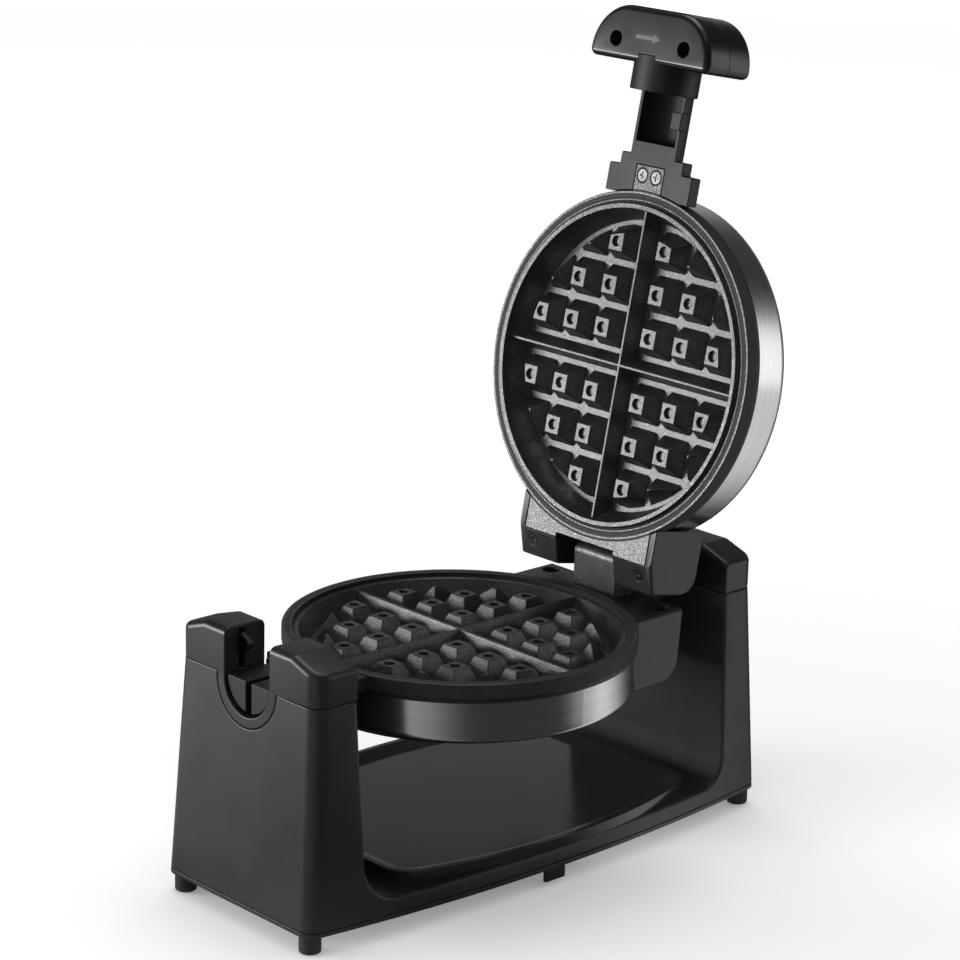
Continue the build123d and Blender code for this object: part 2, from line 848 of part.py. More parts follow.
tongue_screw_spots = [(-tongue_screw_x, tongue_screw_y), (tongue_screw_x, tongue_screw_y)]
tongue_screw_size = (screw_head, tongue_thick / 2, screw_shank, tongue_screw_length)
tongue_screw_room = screws(head_level(0), tongue_screw_spots, *tongue_screw_size, False)
skirt_inner = head_radius - skirt_wall
rim_under = land_depth + casting
wall_out = cavity_floor_radius + casting
underside = [
    (head_radius, -rim_skirt),
    (skirt_inner, -rim_skirt),
    (skirt_inner, -rim_under),
    (land_radius, -rim_under),
    (wall_out, -plate_under),
    (0, -plate_under),
]

# the lower plate, with the hinge riser and the boss of the pivot shaft
with BuildPart() as lower_plate:
    lower_rim = [
        (0, -cavity_depth),
        (cavity_floor_radius, -cavity_depth),
        (cavity_mouth_radius, -land_depth),
        (land_radius, -land_depth),
        (land_radius, 0),
        (head_radius, 0),
    ]
    add(plate_casting(lower_rim + underside))
    add(plate_flange(lower_flange_half, lower_flange_back, -land_depth, lower_flange_thick))
    with BuildSketch(head_level(-land_depth)):
        with Locations((-flange_hole_x, flange_hole_y), (flange_hole_x, flange_hole_y)):
            Circle(flange_hole_radius)
    extrude(amount=-lower_flange_thick, mode=Mode.SUBTRACT)
    with BuildSketch(head_side(-riser_half)):
        with Locations((hinge_back, hinge_rise)):
            Circle(knuckle_radius)
        with Locations((hinge_back, (hinge_rise - land_depth - lower_flange_thick) / 2)):
            Rectangle(2 * knuckle_radius, hinge_rise + land_depth + lower_flange_thick)
    extrude(amount=2 * riser_half)
    with BuildSketch(head_front(boss_back)):
        Circle(boss_radius)
    extrude(amount=boss_back - hinge_back)
    with BuildSketch(head_side(-riser_half)):
        with Locations((hinge_back, hinge_rise)):
            Circle(pin_radius + run_gap)
    extrude(amount=2 * riser_half, mode=Mode.SUBTRACT)
    with BuildSketch(head_front(boss_back)):
        Circle(shaft_radius)
    extrude(amount=boss_back - shaft_front, mode=Mode.SUBTRACT)
    with BuildSketch(head_level(0)):
        with Locations((0, wire_hole_back)):
            Circle(wire_hole)
    extrude(amount=-boss_radius, mode=Mode.SUBTRACT)
lower_plate.part.label = "lower_plate"
export_step(lower_plate.part, "parts/lower_plate.step")

# the upper plate, drawn face up like the lower one, with the raised lip that enters it
with BuildPart() as upper_plate:
    lip_wall_depth = cavity_depth - (lip_inner_radius - cavity_floor_radius) * (
        (cavity_depth - land_depth) / (cavity_mouth_radius - cavity_floor_radius)
    )
    upper_rim = [
        (0, -cavity_depth),
        (cavity_floor_radius, -cavity_depth),
        (lip_inner_radius, -lip_wall_depth),
        (lip_inner_radius, lip_height),
        (lip_radius, lip_height),
        (lip_radius, 0),
        (head_radius, 0),
    ]
    add(plate_casting(upper_rim + underside))
    add(plate_flange(flange_half, flange_back, 0, flange_thick))
    with BuildSketch(head_level(0)):
        with Locations((0, slot_front + big / 2)):
            Rectangle(2 * slot_half, big)
    extrude(amount=-flange_thick, mode=Mode.SUBTRACT)
turn_over(upper_plate.part, "upper_plate")

# the black ring between a plate's bright edge and its cover
with BuildPart() as heat_ring:
    with BuildSketch(head_level(-ring_top)):
        Circle(ring_radius)
        Circle(ring_inner_radius, mode=Mode.SUBTRACT)
    extrude(amount=-ring_height)

# the brushed cup that covers a plate's back
with BuildPart() as head_cover:
    with BuildSketch(head_front(0)):
        with BuildLine():
            floor_edge = cover_radius - cover_round
            inner_round = cover_round - cover_sheet
            bend = cover_depth - cover_round
            Line((0, -cover_depth), (floor_edge, -cover_depth))
            RadiusArc((floor_edge, -cover_depth), (cover_radius, -bend), -cover_round)
            Line((cover_radius, -bend), (cover_radius, -ring_bottom))
            Line((cover_radius, -ring_bottom), (cover_radius - cover_sheet, -ring_bottom))
            Line((cover_radius - cover_sheet, -ring_bottom), (cover_radius - cover_sheet, -bend))
            RadiusArc(
                (cover_radius - cover_sheet, -bend),
                (floor_edge, cover_sheet - cover_depth),
                inner_round,
            )
            Line((floor_edge, cover_sheet - cover_depth), (0, cover_sheet - cover_depth))
            Line((0, cover_sheet - cover_depth), (0, -cover_depth))
        make_face()
    revolve(axis=head_axis)
    add(cover_screw_room, mode=Mode.SUBTRACT)

# the heating element: an open ring with a leg at each end
element_depth = plate_under + seat_gap + element_tube
element_ends = [(element_radius, 0), Vector(element_radius, 0).rotate(Axis.Z, element_turn)]
with BuildPart() as element:
    with BuildSketch(head_front(0)):
        with Locations((element_radius, -element_depth)):
            Circle(element_tube)
    revolve(axis=head_axis, revolution_arc=element_turn)
    with BuildSketch(head_level(-element_depth)):
        with Locations(*element_ends):
            Circle(element_tube)
    extrude(amount=-(pan_depth - element_depth + element_leg))

# the dished sheet that throws the heat back at the plate
with BuildPart() as reflector:
    with BuildSketch(head_front(0)):
        with BuildLine():
            Polyline(
                (0, -pan_depth),
                (pan_floor_radius, -pan_depth),
                (pan_rim_radius, -plate_under - slide_gap),
                (pan_rim_radius + pan_sheet, -plate_under - slide_gap),
                (pan_floor_radius + pan_sheet, -pan_depth - pan_sheet),
                (0, -pan_depth - pan_sheet),
                close=True,
            )
        make_face()
    revolve(axis=head_axis)
    with BuildSketch(head_level(-pan_depth - pan_sheet)):
        with Locations(*post_spots):
            Circle(post_radius + seat_gap)
        with Locations(*element_ends):
            Circle(element_tube + seat_gap)
    extrude(amount=pan_depth - plate_under, mode=Mode.SUBTRACT)

with BuildPart() as thermostat:
    with BuildSketch(head_level(-plate_under)):
        Circle(thermostat_radius)
    extrude(amount=-thermostat_height)

cover_screws = screws(cover_screw_plane, cover_screw_spots, *cover_screw_size)

for piece, name in (
    (heat_ring.part, "heat_ring"),
    (head_cover.part, "cover"),
    (element.part, "element"),
    (reflector.part, "reflector"),
    (thermostat.part, "thermostat"),
    (cover_screws, "cover_screws"),
):
    turn_over(piece, f"upper_{name}")
    piece.label = f"lower_{name}"
    export_step(piece, f"parts/lower_{name}.step")

with BuildPart() as thermal_fuse:
    with BuildSketch(head_side(-fuse_length / 2)):
        with Locations((fuse_y, -plate_under - fuse_radius)):
            Circle(fuse_radius)
    extrude(amount=fuse_length)
thermal_fuse.part.label = "thermal_fuse"
export_step(thermal_fuse.part, "parts/thermal_fuse.step")

# the pivot shaft, bored for the wires, and the clip behind the bush
with BuildPart() as pivot_shaft:
    with BuildSketch(head_front(shaft_end_y - head_y)):
        Circle(shaft_radius)
        Circle(shaft_bore, mode=Mode.SUBTRACT)
    extrude(amount=shaft_end_y - head_y - shaft_front)
    with BuildSketch(head_level(0)):
        with Locations((0, wire_hole_back)):
            Circle(wire_hole)
    extrude(amount=-boss_radius, mode=Mode.SUBTRACT)
pivot_shaft.part.label = "pivot_shaft"
export_step(pivot_shaft.part, "parts/pivot_shaft.step")

with BuildPart() as retaining_clip:
    with BuildSketch(Plane.XZ.offset(-(rear_inner_y + bush_length + slide_gap))):
        with Locations((0, flip_height)):
            Circle(clip_radius)
            Circle(shaft_radius, mode=Mode.SUBTRACT)
    extrude(amount=-clip_thick)
retaining_clip.part.label = "retaining_clip"
export_step(retaining_clip.part, "parts/retaining_clip.step")

def side_prism(points, half, corner, radius):
    """A side view drawn as a closed polygon with one rounded corner, as wide as twice a half."""
    with BuildPart() as made:
        with BuildSketch(head_side(-half)):
            with BuildLine():
                Polyline(*points, close=True)
            make_face()
            fillet(vertices().sort_by_distance(corner)[0], radius=radius)
        extrude(amount=2 * half)
    return made.part


# the cover below the hinge flange, with a pocket for the flange and room for the boss
flange_under = land_depth + lower_flange_thick
cover_top = -land_depth - seat_gap
lower_outer = [
    (flange_root, cover_top),
    (lower_cover_back, cover_top),
    (lower_cover_toe, -lower_cover_height),
    (flange_root, -lower_cover_height),
]
lower_inner = [
    (flange_root, -flange_under - seat_gap - cover_wall),
    (lower_cover_toe - cover_wall, -flange_under - seat_gap - cover_wall),
    (lower_cover_toe - cover_wall, cover_wall - lower_cover_height),
    (flange_root, cover_wall - lower_cover_height),
]
with BuildPart() as lower_cover_room:
    inner_half = lower_cover_half - cover_wall
    add(side_prism(lower_inner, inner_half, lower_inner[2], lower_cover_round - cover_wall))
    add(hull_and_wall, mode=Mode.SUBTRACT)

with BuildPart() as lower_hinge_cover:
    add(side_prism(lower_outer, lower_cover_half, lower_outer[2], lower_cover_round))
    rear_edges = edges().filter_by_position(Axis.Y, head_y + block_front, head_y + boss_back)
    side_edges = rear_edges.filter_by(lambda edge: abs(edge.center().X) > lower_cover_half - 1)
    fillet(side_edges, radius=hinge_cover_edge)
    add(hull_block, mode=Mode.SUBTRACT)
    add(lower_cover_room.part, mode=Mode.SUBTRACT)
    # the flange lies in a pocket of the cover's top
    with BuildSketch(head_level(cover_top)):
        with Locations((0, (flange_root + lower_flange_back + seat_gap) / 2)):
            Rectangle(
                2 * (lower_flange_half + seat_gap),
                lower_flange_back + seat_gap - flange_root,
            )
    extrude(amount=-(lower_flange_thick), mode=Mode.SUBTRACT)
    with BuildSketch(head_front(boss_back + 1)):
        Circle(boss_radius + seat_gap)
    extrude(amount=boss_back + 1 - slot_front, mode=Mode.SUBTRACT)
lower_hinge_cover.part.label = "lower_hinge_cover"
export_step(lower_hinge_cover.part, "parts/lower_hinge_cover.step")

# the cover over the lid's half of the hinge, drawn shut
upper_bottom = rim_gap
slope_foot = (flange_back, upper_bottom)
slope_head = (hinge_cover_back, upper_bottom + slope_rise)
upper_outer = [
    (flange_root, upper_bottom),
    slope_foot,
    slope_head,
    (hinge_cover_back, hinge_cover_height),
    (flange_root, hinge_cover_height),
]
upper_inner = [
    (flange_root, upper_bottom + cover_wall),
    (flange_back, upper_bottom + cover_wall),
    (hinge_cover_back - cover_wall, upper_bottom + slope_rise + cover_wall / 2),
    (hinge_cover_back - cover_wall, hinge_cover_height - cover_wall),
    (flange_root, hinge_cover_height - cover_wall),
]
slope_run = hinge_cover_back - flange_back
slope_length = hypot(slope_run, slope_rise)
hinge_screw_drop = upper_bottom + slope_rise * (hinge_screw_y - flange_back) / slope_run
hinge_screw_plane = Plane(
    origin=(0, head_y + hinge_screw_y, flip_height + hinge_screw_drop),
    x_dir=(1, 0, 0),
    z_dir=(0, slope_rise / slope_length, -slope_run / slope_length),
)
hinge_screw_spots = [(-hinge_screw_x, 0), (hinge_screw_x, 0)]
hinge_screw_size = (screw_head, cover_wall / 2, screw_shank, hinge_screw_length)
hinge_screw_room = screws(hinge_screw_plane, hinge_screw_spots, *hinge_screw_size, False)
hinge_screws = screws(hinge_screw_plane, hinge_screw_spots, *hinge_screw_size)

with BuildPart() as upper_cover_room:
    room_half = hinge_cover_half - cover_wall
    add(side_prism(upper_inner, room_half, upper_inner[3], hinge_cover_round - cover_wall))
    with BuildSketch(head_side(-slot_half - cover_wall)):
        with Locations((hinge_back, 0)):
            Rectangle(big, big)
    extrude(amount=2 * (slot_half + cover_wall), mode=Mode.SUBTRACT)
    add(hull_and_wall, mode=Mode.SUBTRACT)

with BuildPart() as upper_hinge_cover:
    add(side_prism(upper_outer, hinge_cover_half, upper_outer[3], hinge_cover_round))
    rear_edges = edges().filter_by_position(Axis.Y, head_y + slot_front, head_y + boss_back)
    side_edges = rear_edges.filter_by(lambda edge: abs(edge.center().X) > hinge_cover_half - 1)
    fillet(side_edges, radius=hinge_cover_edge)
    add(hull_block, mode=Mode.SUBTRACT)
    add(upper_cover_room.part, mode=Mode.SUBTRACT)
    with BuildSketch(head_side(-slot_half)):
        with Locations((slot_front + big / 2, 0)):
            Rectangle(big, big)
    extrude(amount=2 * slot_half, mode=Mode.SUBTRACT)
    # the flange lies in a pocket of the cover's bottom
    with BuildSketch(head_level(upper_bottom)):
        with Locations((0, (flange_root + flange_back + seat_gap) / 2)):
            Rectangle(2 * (flange_half + seat_gap), flange_back + seat_gap - flange_root)
    extrude(amount=flange_thick + seat_gap, mode=Mode.SUBTRACT)
    with BuildSketch(head_side(-pin_half)):
        with Locations((hinge_back, hinge_rise)):
            Circle(pin_radius + seat_gap)
    extrude(amount=2 * pin_half, mode=Mode.SUBTRACT)
    add(hinge_screw_room, mode=Mode.SUBTRACT)
swing_open(upper_hinge_cover.part, "upper_hinge_cover")
swing_open(hinge_screws, "hinge_screws")

# the two steel blocks on the flange that hold the hinge pin
block_foot = rim_gap + flange_thick
with BuildPart() as hinge_blocks:
    for x in (-block_outer, block_inner):
        with BuildSketch(head_side(x)):
            with BuildLine():
                Polyline(
                    (block_front, block_foot),
                    (flange_back + slope_rise, block_foot),
                    (hinge_back + knuckle_radius, block_foot + cover_wall + seat_gap),
                    (hinge_back + knuckle_radius, hinge_rise),
                    (hinge_back - knuckle_radius, hinge_rise),
                    (block_front, block_foot + knuckle_radius),
                    close=True,
                )
            make_face()
            with Locations((hinge_back, hinge_rise)):
                Circle(knuckle_radius)
                Circle(pin_radius, mode=Mode.SUBTRACT)
        extrude(amount=block_outer - block_inner)
    add(hinge_screw_room, mode=Mode.SUBTRACT)
    add(hull_and_wall, mode=Mode.SUBTRACT)
swing_open(hinge_blocks.part, "hinge_blocks")

with BuildPart() as hinge_pin:
    with BuildSketch(head_side(-pin_half)):
        with Locations((hinge_back, hinge_rise)):
            Circle(pin_radius)
    extrude(amount=2 * pin_half)
swing_open(hinge_pin.part, "hinge_pin")


def stepped_bracket(top, thick):
    """The stepped plate beside a tongue, outside the head, from one level by a thickness."""
    with BuildPart() as made:
        with BuildSketch(head_level(top)):
            for width, tip in ((wide_step, wide_step_tip), (mid_step, mid_step_tip)):
                with Locations((0, (arm_front + tip) / 2)):
                    Rectangle(width, arm_front - tip)
        extrude(amount=thick)
        fillet(edges().filter_by(Axis.Z).filter_by_position(Axis.Y, -big, head_y + arm_front - 1), 1)
        add(hull_block, mode=Mode.SUBTRACT)
    return made.part


# the lower half-stem, which turns in the cradle of the front cap
with BuildPart() as lower_stem:
    add(stepped_bracket(0, -arm_thick))
    with BuildSketch(head_front(arm_front)):
        Circle(stem_radius)
        with Locations((0, big / 2)):
            Rectangle(big, big, mode=Mode.SUBTRACT)
    extrude(amount=arm_front - stem_tip)
    with BuildSketch(head_level(0)):
        with Locations((0, (stem_slot_start + stem_tip) / 2)):
            Rectangle(stem_slot, stem_slot_start - stem_tip)
    extrude(amount=-stem_slot_depth, mode=Mode.SUBTRACT)
    add(hull_block, mode=Mode.SUBTRACT)
    add(plate_tongue(seat_gap, seat_gap), mode=Mode.SUBTRACT)
    add(tongue_screw_room, mode=Mode.SUBTRACT)
lower_stem.part.label = "lower_stem"
export_step(lower_stem.part, "parts/lower_stem.step")

tongue_screws = screws(head_level(0), tongue_screw_spots, *tongue_screw_size)
turn_over(tongue_screws, "upper_tongue_screws")
tongue_screws.label = "lower_tongue_screws"
export_step(tongue_screws, "parts/lower_tongue_screws.step")

# the handle arm: a bracket, a half-stem open below, a collar and the tang inside the grip
with BuildPart() as handle_arm:
    add(stepped_bracket(rim_gap, arm_thick))
    with BuildSketch(head_front(arm_front)):
        Circle(stem_radius)
        with Locations((0, rim_gap - big / 2)):
            Rectangle(big, big, mode=Mode.SUBTRACT)
    extrude(amount=arm_front - collar_start)
    with BuildSketch(head_front(collar_start)):
        Circle(collar_radius)
    extrude(amount=collar_start - collar_end)
    # the channel runs on under the collar
    with BuildSketch(head_front(solid_back)):
        Circle(stem_bore)
        with Locations((0, rim_gap - big / 2)):
            Rectangle(big, big, mode=Mode.SUBTRACT)
    extrude(amount=solid_back - collar_end - collar_web, mode=Mode.SUBTRACT)
    # a thick tab stands in the channel's right side, its wall hollowed outside
    with BuildSketch(head_front(tab_far)):
        Circle(stem_radius)
        with Locations(((tab_edge + tab_face) / 2, rim_gap + arm_thick / 2)):
            Rectangle(tab_face - tab_edge, arm_thick, mode=Mode.INTERSECT)
    extrude(amount=tab_far - tab_near)
    with BuildSketch(head_front(tab_far)):
        with Locations((tab_face + arm_thick / 2, rim_gap + arm_thick / 2)):
            Rectangle(arm_thick, arm_thick)
    extrude(amount=tab_far - tab_near, mode=Mode.SUBTRACT)
    with BuildSketch(head_front(collar_end)):
        Rectangle(2 * tang_half, tang_thick)
    extrude(amount=collar_end - tang_tip)
    add(hull_block, mode=Mode.SUBTRACT)
    add(plate_tongue(seat_gap, seat_gap).mirror(parting), mode=Mode.SUBTRACT)
    add(tongue_screw_room.mirror(parting), mode=Mode.SUBTRACT)
swing_open(handle_arm.part, "handle_arm")


def grip_outline(inset):
    """The half-moon of the grip, its flat side towards the head, set in by a wall."""
    with BuildSketch() as outline:
        with Locations((0, (grip_flat + grip_tip) / 2)):
            Rectangle(grip_width - 2 * inset, grip_flat - grip_tip - 2 * inset)
        outer = vertices().group_by(Axis.Y)[0]
        fillet(outer, radius=grip_corner - inset)
        inner = vertices().group_by(Axis.Y)[-1]
        fillet(inner, radius=grip_heel - inset if inset < grip_heel else grip_wall / 3)
    return outline.sketch


grip_spots = [(-grip_screw_x, grip_screw_y), (grip_screw_x, grip_screw_y)]
grip_screw_plane = Plane(
    origin=(0, head_y, flip_height - grip_half_thick + grip_well_depth),
    x_dir=(1, 0, 0),
    z_dir=(0, 0, -1),
)
grip_face = grip_screw_plane.offset(grip_well_depth)
turned_spots = [(x, -y) for x, y in grip_spots]
grip_screw_size = (screw_head, grip_wall / 2, screw_shank, grip_screw_length)
grip_screws = screws(grip_screw_plane, turned_spots, *grip_screw_size)
grip_screw_room = screws(grip_screw_plane, turned_spots, *grip_screw_size, False)

# the collar and the tang, with a little room, are cut out of both shells of the grip
with BuildPart() as collar_room:
    with BuildSketch(head_front(collar_start)):
        Circle(collar_radius + seat_gap)
    extrude(amount=collar_start - collar_end + seat_gap)
    with BuildSketch(head_front(collar_end)):
        Rectangle(2 * (tang_half + seat_gap), tang_thick + 2 * seat_gap)
    extrude(amount=collar_end - tang_tip + seat_gap)


def grip_shell(side):
    """One hollow half of the grip, above or below the parting plane, with posts for its screws."""
    with BuildPart() as made:
        with BuildSketch(head_level(0)):
            add(grip_outline(0))
        extrude(amount=side * grip_half_thick)
        face_edges = edges().group_by(Axis.Z)[-1 if side > 0 else 0]
        fillet(face_edges, radius=grip_round)
        with BuildSketch(head_level(0)):
            add(grip_outline(grip_wall))
            with Locations(*grip_spots):
                Circle(grip_post, mode=Mode.SUBTRACT)
        extrude(amount=side * (grip_half_thick - grip_wall), mode=Mode.SUBTRACT)
        add(collar_room.part, mode=Mode.SUBTRACT)
        with BuildSketch(head_level(-grip_half_thick)):
            with Locations(*grip_spots):
                Circle(grip_well)
        extrude(amount=grip_well_depth, mode=Mode.SUBTRACT)
        add(grip_screw_room, mode=Mode.SUBTRACT)
    return made.part


with BuildPart() as grip_inner_shell:
    add(grip_shell(-1))
    # a raised arrow that points the way the head turns
    with BuildSketch(grip_face):
        with BuildLine():
            Polyline(
                (arrow_tail, arrow_line - arrow_shaft),
                (arrow_neck, arrow_line - arrow_shaft),
                (arrow_neck, arrow_line - arrow_barb),
                (arrow_tip, arrow_line),
                (arrow_neck, arrow_line + arrow_barb),
                (arrow_neck, arrow_line + arrow_shaft),
                (arrow_tail, arrow_line + arrow_shaft),
                close=True,
            )
        make_face()
    extrude(amount=arrow_rise)
swing_open(grip_inner_shell.part, "grip_inner_shell")
swing_open(grip_shell(1), "grip_outer_shell")
swing_open(grip_screws, "grip_screws")

# two indicator lenses in the lid's cover
with BuildPart() as indicator_lenses:
    with BuildSketch(head_level(cover_depth + rim_gap)):
        with Locations((-lens_x, lens_y), (lens_x, lens_y)):
            Circle(lens_radius)
    extrude(amount=lens_dome)
    fillet(edges().group_by(Axis.Z)[-1], radius=lens_dome * 0.6)
swing_open(indicator_lenses.part, "indicator_lenses")
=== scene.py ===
import bpy
import bmesh
import json
import numpy as np
from math import cos, pi, radians, sin
from mathutils import Matrix, Vector

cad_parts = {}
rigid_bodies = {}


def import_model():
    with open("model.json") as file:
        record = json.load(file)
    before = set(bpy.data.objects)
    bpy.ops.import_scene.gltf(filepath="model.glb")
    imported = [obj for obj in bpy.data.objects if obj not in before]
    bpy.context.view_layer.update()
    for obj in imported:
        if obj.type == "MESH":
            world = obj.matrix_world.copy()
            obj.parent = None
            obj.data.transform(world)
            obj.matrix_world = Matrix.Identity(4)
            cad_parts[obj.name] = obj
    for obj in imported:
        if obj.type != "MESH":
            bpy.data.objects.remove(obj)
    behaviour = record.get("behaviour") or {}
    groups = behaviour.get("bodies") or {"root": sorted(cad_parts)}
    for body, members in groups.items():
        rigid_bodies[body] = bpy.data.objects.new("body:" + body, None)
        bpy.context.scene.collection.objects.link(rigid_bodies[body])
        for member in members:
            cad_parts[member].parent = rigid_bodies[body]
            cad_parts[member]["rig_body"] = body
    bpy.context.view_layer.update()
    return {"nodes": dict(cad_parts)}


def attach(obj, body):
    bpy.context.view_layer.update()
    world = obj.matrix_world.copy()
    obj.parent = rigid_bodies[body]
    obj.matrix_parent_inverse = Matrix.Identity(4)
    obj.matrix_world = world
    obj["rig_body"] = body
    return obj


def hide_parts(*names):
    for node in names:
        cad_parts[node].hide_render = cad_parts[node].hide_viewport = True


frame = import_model()
nodes = frame["nodes"]
scene = bpy.context.scene
print("frame loaded,", len(nodes), "nodes")

# the lid's pin in metres and how far the lid stands open, and the middle of both heads when it is shut
lidHinge = {"y": 0.0989, "z": 0.1538, "open": radians(101.4)}
headMiddle = {"y": -0.013, "z": 0.1357}


# a socket with a material's maths on it: wires add, subtract and multiply as numbers do
class Wire:
    def __init__(self, finish, socket):
        self.finish = finish
        self.socket = socket

    def math(self, operation, first, second=0.0, clamp=False):
        settings = {"operation": operation, "use_clamp": clamp}
        return self.finish.add("ShaderNodeMath", settings, {0: first, 1: second})

    def __add__(self, other):
        return self.math("ADD", self, other)

    def __radd__(self, other):
        return self.math("ADD", other, self)

    def __sub__(self, other):
        return self.math("SUBTRACT", self, other)

    def __rsub__(self, other):
        return self.math("SUBTRACT", other, self)

    def __mul__(self, other):
        return self.math("MULTIPLY", self, other)

    def __rmul__(self, other):
        return self.math("MULTIPLY", other, self)

    def root(self):
        return self.math("SQRT", self)

    def wave(self):
        return self.math("SINE", self)

    def clamp(self):
        return self.math("ADD", self, 0.0, clamp=True)

    # 0 below low, 1 above high, smooth between
    def ramp(self, low, high):
        return self.finish.add(
            "ShaderNodeMapRange",
            {"interpolation_type": "SMOOTHSTEP"},
            {"Value": self, "From Min": low, "From Max": high, "To Min": 0.0, "To Max": 1.0},
        )

    # the same rise, centred on one value
    def step(self, middle, half):
        return self.ramp(middle - half, middle + half)

    # 1 between start and end, 0 outside, with soft edges
    def window(self, start, end, edge):
        return self.step(start, edge) * (1.0 - self.step(end, edge))


# the length of two wires at right angles
def reach(first, second):
    return (first * first + second * second).root()


# one procedural material, or the world, built node by node
class Finish:
    def __init__(self, owner, ending="ShaderNodeOutputMaterial"):
        self.owner = owner
        self.ending = ending
        owner.use_nodes = True
        self.tree = owner.node_tree
        self.tree.nodes.clear()
        self.nodeCount = 0

    # a node by its type, its settings, and the values or wires of its sockets
    def add(self, kind, settings=None, inputs=None, output=0):
        node = self.tree.nodes.new(kind)
        node.location = (self.nodeCount * 40, -self.nodeCount * 12)
        self.nodeCount += 1
        for name, value in (settings or {}).items():
            setattr(node, name, value)
        for name, value in (inputs or {}).items():
            socket = node.inputs[name]
            if isinstance(value, Wire):
                self.tree.links.new(value.socket, socket)
            else:
                socket.default_value = value
        if output is None:
            return node
        return Wire(self, node.outputs[output])

    # object coordinates in metres from a head's middle, or from the lid's as if it were shut:
    # turned by the open angle about x, then moved so that the pin stays where it is
    def where(self, lid=False):
        turn = lidHinge["open"] if lid else 0.0
        turnedY = lidHinge["y"] * cos(turn) - lidHinge["z"] * sin(turn)
        turnedZ = lidHinge["y"] * sin(turn) + lidHinge["z"] * cos(turn)
        moveY = lidHinge["y"] - turnedY - headMiddle["y"]
        moveZ = lidHinge["z"] - turnedZ - headMiddle["z"]
        return self.add(
            "ShaderNodeMapping",
            {"vector_type": "POINT"},
            {
                "Vector": self.add("ShaderNodeTexCoord", output="Object"),
                "Location": (0.0, moveY, moveZ),
                "Rotation": (turn, 0.0, 0.0),
            },
        )

    def split(self, vector):
        node = self.add("ShaderNodeSeparateXYZ", inputs={"Vector": vector}, output=None)
        return [Wire(self, node.outputs[axis]) for axis in "XYZ"]

    def join(self, x, y, z):
        return self.add("ShaderNodeCombineXYZ", inputs={"X": x, "Y": y, "Z": z})

    def noise(self, vector, scale, detail=3.0, roughness=0.5):
        return self.add(
            "ShaderNodeTexNoise",
            {"noise_dimensions": "3D"},
            {"Vector": vector, "Scale": scale, "Detail": detail, "Roughness": roughness},
        )

    def cells(self, vector, scale):
        return self.add("ShaderNodeTexVoronoi", {"feature": "F1"}, {"Vector": vector, "Scale": scale})

    # a colour between two, by a share from 0 to 1: sockets 0, 6 and 7 are the factor and the colours
    def blend(self, share, first, second):
        return self.add("ShaderNodeMix", {"data_type": "RGBA"}, {0: share, 6: first, 7: second}, output=2)

    def end(self, surface):
        self.add(self.ending, inputs={"Surface": surface}, output=None)
        return self.owner

    # the shader with its bump: numbers are set on its sockets, wires are linked
    def shade(self, height, bump, depth, **inputs):
        named = {name.replace("_", " "): value for name, value in inputs.items()}
        named["Normal"] = self.add(
            "ShaderNodeBump",
            inputs={"Strength": bump, "Distance": depth, "Height": height},
        )
        return self.end(self.add("ShaderNodeBsdfPrincipled", inputs=named))


def newFinish(name):
    return Finish(bpy.data.materials.new(name))


def grey(level, warmth=0.0):
    return (level * (1 + warmth), level, level * (1 - warmth), 1.0)


# the plain arrow on the grip, in metres from the lid's middle; its tone is a painted highlight on the raised
# arrow
arrowLook = {
    "line": -0.1856,
    "tail": -0.0110,
    "neck": 0.0020,
    "tip": 0.0080,
    "shaft": 0.0011,
    "barb": 0.0027,
    "edge": 0.0001,
    "tone": 0.13,
}


# painted highlight on the raised arrow: 1 on the arrow, 0 round it: a bar along x, then a triangle whose
# half width falls to nothing at the tip
def paintedArrowHighlight(finish):
    x, y, z = finish.split(finish.where(lid=True))
    offLine = y - arrowLook["line"]
    away = (offLine * offLine).root()
    edge = arrowLook["edge"]
    bar = x.window(arrowLook["tail"], arrowLook["neck"], edge)
    bar = bar * (1.0 - away.step(arrowLook["shaft"], edge))
    slope = arrowLook["barb"] / (arrowLook["tip"] - arrowLook["neck"])
    half = (arrowLook["tip"] - x) * slope
    point = x.window(arrowLook["neck"], arrowLook["tip"], edge) * (half - away).step(0.0, edge)
    return (bar + point).clamp()


plasticLooks = {
    "standBlack": {"dark": 0.01, "light": 0.016, "rough": 0.42, "spread": 0.07, "grain": 2600, "bump": 0.18},
    "gripFace": {"dark": 0.005, "light": 0.009, "rough": 0.25, "spread": 0.06, "grain": 3100, "bump": 0.12},
    "capBlack": {"dark": 0.009, "light": 0.014, "rough": 0.36, "spread": 0.06, "grain": 2900, "bump": 0.16},
    "armBlack": {"dark": 0.005, "light": 0.009, "rough": 0.50, "spread": 0.06, "grain": 2900, "bump": 0.16},
    "gripBlack": {"dark": 0.005, "light": 0.009, "rough": 0.25, "spread": 0.06, "grain": 3100, "bump": 0.12},
    "hingeGrey": {"dark": 0.013, "light": 0.020, "rough": 0.40, "spread": 0.06, "grain": 3000, "bump": 0.14},
    "bezelBlack": {"dark": 0.006, "light": 0.010, "rough": 0.48, "spread": 0.05, "grain": 2400, "bump": 0.2},
    "footRubber": {"dark": 0.012, "light": 0.020, "rough": 0.72, "spread": 0.08, "grain": 1800, "bump": 0.3},
    "paleCeramic": {"dark": 0.55, "light": 0.66, "rough": 0.6, "spread": 0.1, "grain": 1500, "bump": 0.2},
}

# what all moulded plastics share: scales per metre, the pits' as a share of the grain's, depth in metres
mouldLook = {
    "pitScale": 0.45,
    "pitDepth": 0.5,
    "grainDepth": 0.7,
    "flowScale": 9.0,
    "flowTone": (0.35, 0.7),
    "touchScale": 46.0,
    "depth": 0.00012,
    "ior": 1.5,
}

# the coarser inner wall of the rear tower: where it lies behind the heads' middle, and how it faces
innerWall = {"behind": (0.03, 0.08), "facing": (0.4, 0.8), "rougher": 0.35}


